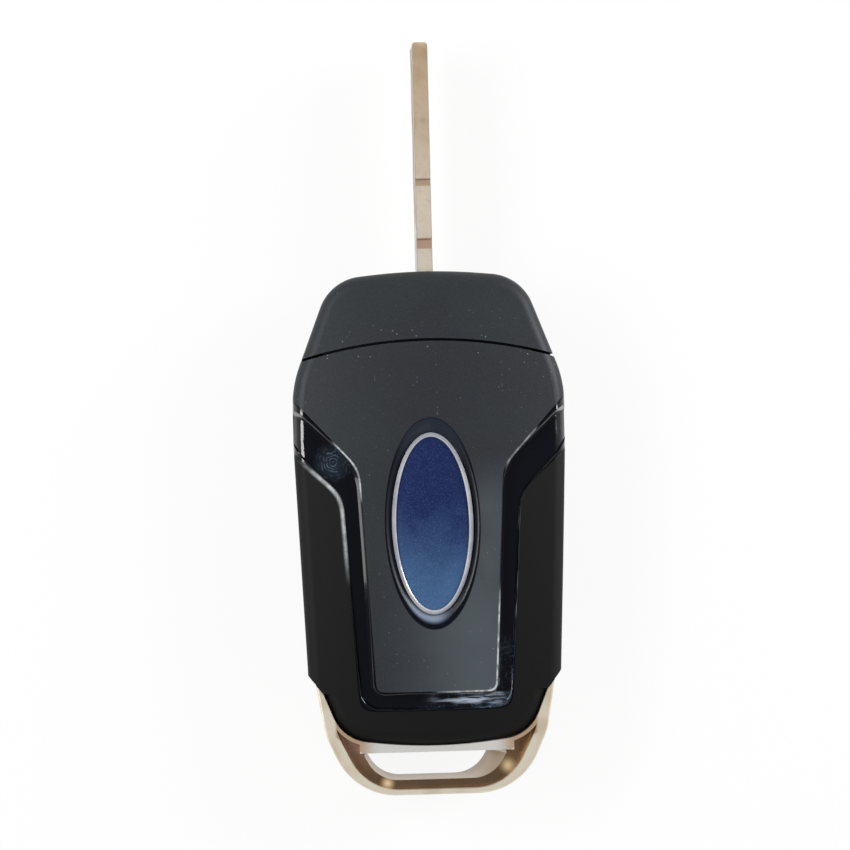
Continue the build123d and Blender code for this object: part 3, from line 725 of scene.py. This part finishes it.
def roundCorners(plate, corner):
    bpy.ops.object.mode_set(mode="EDIT")
    bpy.ops.mesh.select_mode(type="EDGE")
    bpy.ops.mesh.select_all(action="DESELECT")
    bpy.ops.object.mode_set(mode="OBJECT")
    for edge in plate.data.edges:
        ends = [plate.data.vertices[index].co for index in edge.vertices]
        edge.select = abs(ends[0].z - ends[1].z) > printDepth / 2
    bpy.ops.object.mode_set(mode="EDIT")
    bpy.ops.mesh.bevel(offset=corner * mm, segments=printLook["cornerSteps"], affect="EDGES")
    bpy.ops.object.mode_set(mode="OBJECT")


def printPlate(middle, width, length, corner=0, turn=0):  # flat plate, rounded if given a corner
    deselect()
    place = (middle[0] * mm, middle[1] * mm, printBase + printDepth / 2)
    bpy.ops.mesh.primitive_cube_add(size=1, location=place)
    plate = bpy.context.object
    plate.scale = (width * mm, length * mm, printDepth)
    plate.rotation_euler = (0, 0, radians(turn))
    bpy.ops.object.transform_apply(location=True, rotation=True, scale=True)
    if corner:
        roundCorners(plate, corner)
    return plate


def printRing(middle, radius, width, turn=None):  # flat ring, or its half to the left of turn
    deselect()
    place = (middle[0] * mm, middle[1] * mm, printBase)
    bpy.ops.mesh.primitive_circle_add(
        vertices=printLook["ringSteps"], radius=radius * mm, fill_type="NGON", location=place,
    )
    ring = bpy.context.object
    bpy.ops.object.transform_apply(location=True, rotation=False, scale=False)
    bpy.ops.object.mode_set(mode="EDIT")
    bpy.ops.mesh.select_all(action="SELECT")
    bpy.ops.mesh.inset(thickness=width * mm)
    bpy.ops.mesh.delete(type="FACE")
    bpy.ops.mesh.select_all(action="SELECT")
    bpy.ops.mesh.extrude_region_move(TRANSFORM_OT_translate={"value": (0, 0, printDepth)})
    if turn is not None:
        across = (sin(radians(turn)), -cos(radians(turn)), 0)
        bpy.ops.mesh.select_all(action="SELECT")
        bpy.ops.mesh.bisect(plane_co=place, plane_no=across, use_fill=True, clear_outer=True)
    bpy.ops.mesh.select_all(action="SELECT")
    bpy.ops.mesh.normals_make_consistent(inside=False)
    bpy.ops.object.mode_set(mode="OBJECT")
    return ring


def printWedge(middle, radius, turn):  # flat triangle
    deselect()
    place = (middle[0] * mm, middle[1] * mm, printBase + printDepth / 2)
    bpy.ops.mesh.primitive_cylinder_add(
        vertices=3, radius=radius * mm, depth=printDepth, location=place,
    )
    wedge = bpy.context.object
    wedge.rotation_euler = (0, 0, radians(turn))
    bpy.ops.object.transform_apply(location=True, rotation=True, scale=False)
    return wedge


def joinPrint(name, strokes, key, body):
    deselect()
    low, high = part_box(key)
    for stroke in strokes:
        stroke.select_set(True)
    bpy.context.view_layer.objects.active = strokes[0]
    bpy.ops.object.join()
    piece = bpy.context.object
    piece.name = name
    piece.data.name = name
    piece.location = ((low.x + high.x) / 2, (low.y + high.y) / 2, 0)
    bpy.ops.object.transform_apply(location=True, rotation=True, scale=True)
    piece.data.materials.clear()
    piece.data.materials.append(printInk)
    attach(piece, body)


def lockStrokes(shift, leftLeg):  # shift moves the shackle aside; a leg is given by y and length
    rightLeg = {"y": 0.55, "length": 0.75}
    legX, line = 0.84, 0.32
    return [
        printPlate((0, -0.9), width=3.0, length=2.4, corner=0.35),
        printRing((shift, 0.9), radius=1.0, width=line, turn=0),
        printPlate((shift + legX, rightLeg["y"]), line, rightLeg["length"]),
        printPlate((shift - legX, leftLeg["y"]), line, leftLeg["length"]),
    ]


def tailgateStrokes():
    wheelX, wheelY, wheelRadius, tyreShare = 1.5, -1.3, 0.62, 0.45
    return [
        printPlate((0, -0.75), width=5.2, length=0.95, corner=0.3),
        printPlate((-0.5, 0.05), width=2.7, length=1.0, corner=0.4),
        printPlate((1.75, 0.85), width=2.0, length=0.34, corner=0.1, turn=38),
        printRing((-wheelX, wheelY), wheelRadius, wheelRadius * tyreShare),
        printRing((wheelX, wheelY), wheelRadius, wheelRadius * tyreShare),
    ]


def hornStrokes():
    return [
        printPlate((-1.35, 0), width=1.0, length=1.1, corner=0.2),
        printWedge((-0.35, 0), radius=1.35, turn=90),
        printRing((0.35, 0), radius=1.35, width=0.3, turn=-90),
        printRing((0.35, 0), radius=2.05, width=0.3, turn=-90),
    ]


closedLock = lockStrokes(0, {"y": 0.55, "length": 0.75})
joinPrint("lockPrint", closedLock, "lock_key", "lock_pad")
openLock = lockStrokes(1.15, {"y": 0.75, "length": 0.4})
joinPrint("unlockPrint", openLock, "unlock_key", "unlock_pad")
joinPrint("tailgatePrint", tailgateStrokes(), "trunk_key", "trunk_pad")
joinPrint("hornPrint", hornStrokes(), "panic_key", "panic_pad")
print("front keys printed")


# Floor, world and lamps

studio = {
    "floorSize": 4.0,
    "floorDrop": 0.0001,
    "floorColour": (0.86, 0.86, 0.86),
    "floorRough": 0.8,
    "floorSpecular": 0.2,
    "floorGlow": 0.9,
    "zenith": {"rise": 0.9, "level": 0.10},
    "horizon": {"rise": 0.35, "level": 0.62},
    "white": (1, 1, 1),
    "lamps": {
        "keyLamp": {"place": (0.45, 0.16, 0.25), "size": (0.20, 0.34), "power": 2.4},
        "sideLamp": {"place": (-0.35, 0.08, 0.36), "size": (0.36, 0.15), "power": 1.9},
        "footLamp": {"place": (0.12, -0.40, 0.30), "size": (0.26, 0.12), "power": 0.12},
    },
}


def makeFloor(setup):  # pale where it is lit, near white where it is seen, and clear from below
    deselect()
    place = (0, 0, -setup["floorDrop"])
    bpy.ops.mesh.primitive_plane_add(size=setup["floorSize"], location=place)
    floor = bpy.context.object
    floor.name = "floor"
    finish = Finish("floorPale")
    finish.set(
        Base_Color=setup["floorColour"], Roughness=setup["floorRough"],
        Specular_IOR_Level=setup["floorSpecular"],
    )
    rays = [
        finish.node("LightPath", output=name)
        for name in ("Is Camera Ray", "Is Glossy Ray", "Is Transmission Ray")
    ]
    seen = rays[0].most(rays[1]).most(rays[2])
    under = finish.node("NewGeometry", output="Backfacing")
    lit = Wire(finish.tree, finish.shader.outputs[0])
    white = finish.node("Emission", None, {"Color": setup["white"], "Strength": 1.0})
    clear = finish.node("BsdfTransparent")
    mixed = finish.node("MixShader", None, {0: seen * setup["floorGlow"], 1: lit, 2: white})
    mixed = finish.node("MixShader", None, {0: under, 1: mixed, 2: clear})
    surface = finish.tree.nodes["Material Output"].inputs["Surface"]
    finish.tree.links.new(mixed.socket, surface)
    floor.data.materials.append(finish.material)


def makeWorld(setup):
    world = bpy.data.worlds.new("studio")
    bpy.context.scene.world = world
    world.use_nodes = True
    tree = world.node_tree
    horizon, zenith = setup["horizon"], setup["zenith"]
    up = addNode(tree, "TexCoord", output="Generated").parts()[2]
    strength = up.ramp(horizon["rise"], zenith["rise"], horizon["level"], zenith["level"])
    background = tree.nodes["Background"]
    background.inputs["Color"].default_value = (*setup["white"], 1)
    tree.links.new(strength.socket, background.inputs["Strength"])


def makeLamp(name, place, size, power):
    data = bpy.data.lights.new(name, "AREA")
    data.shape = "RECTANGLE"
    data.size, data.size_y = size
    data.energy = power
    lamp = bpy.data.objects.new(name, data)
    lamp.location = place
    lamp.rotation_euler = Vector(place).to_track_quat("Z", "Y").to_euler()
    bpy.context.collection.objects.link(lamp)


makeFloor(studio)
makeWorld(studio)
for lampName, lamp in studio["lamps"].items():
    makeLamp(lampName, **lamp)
print("studio lit")
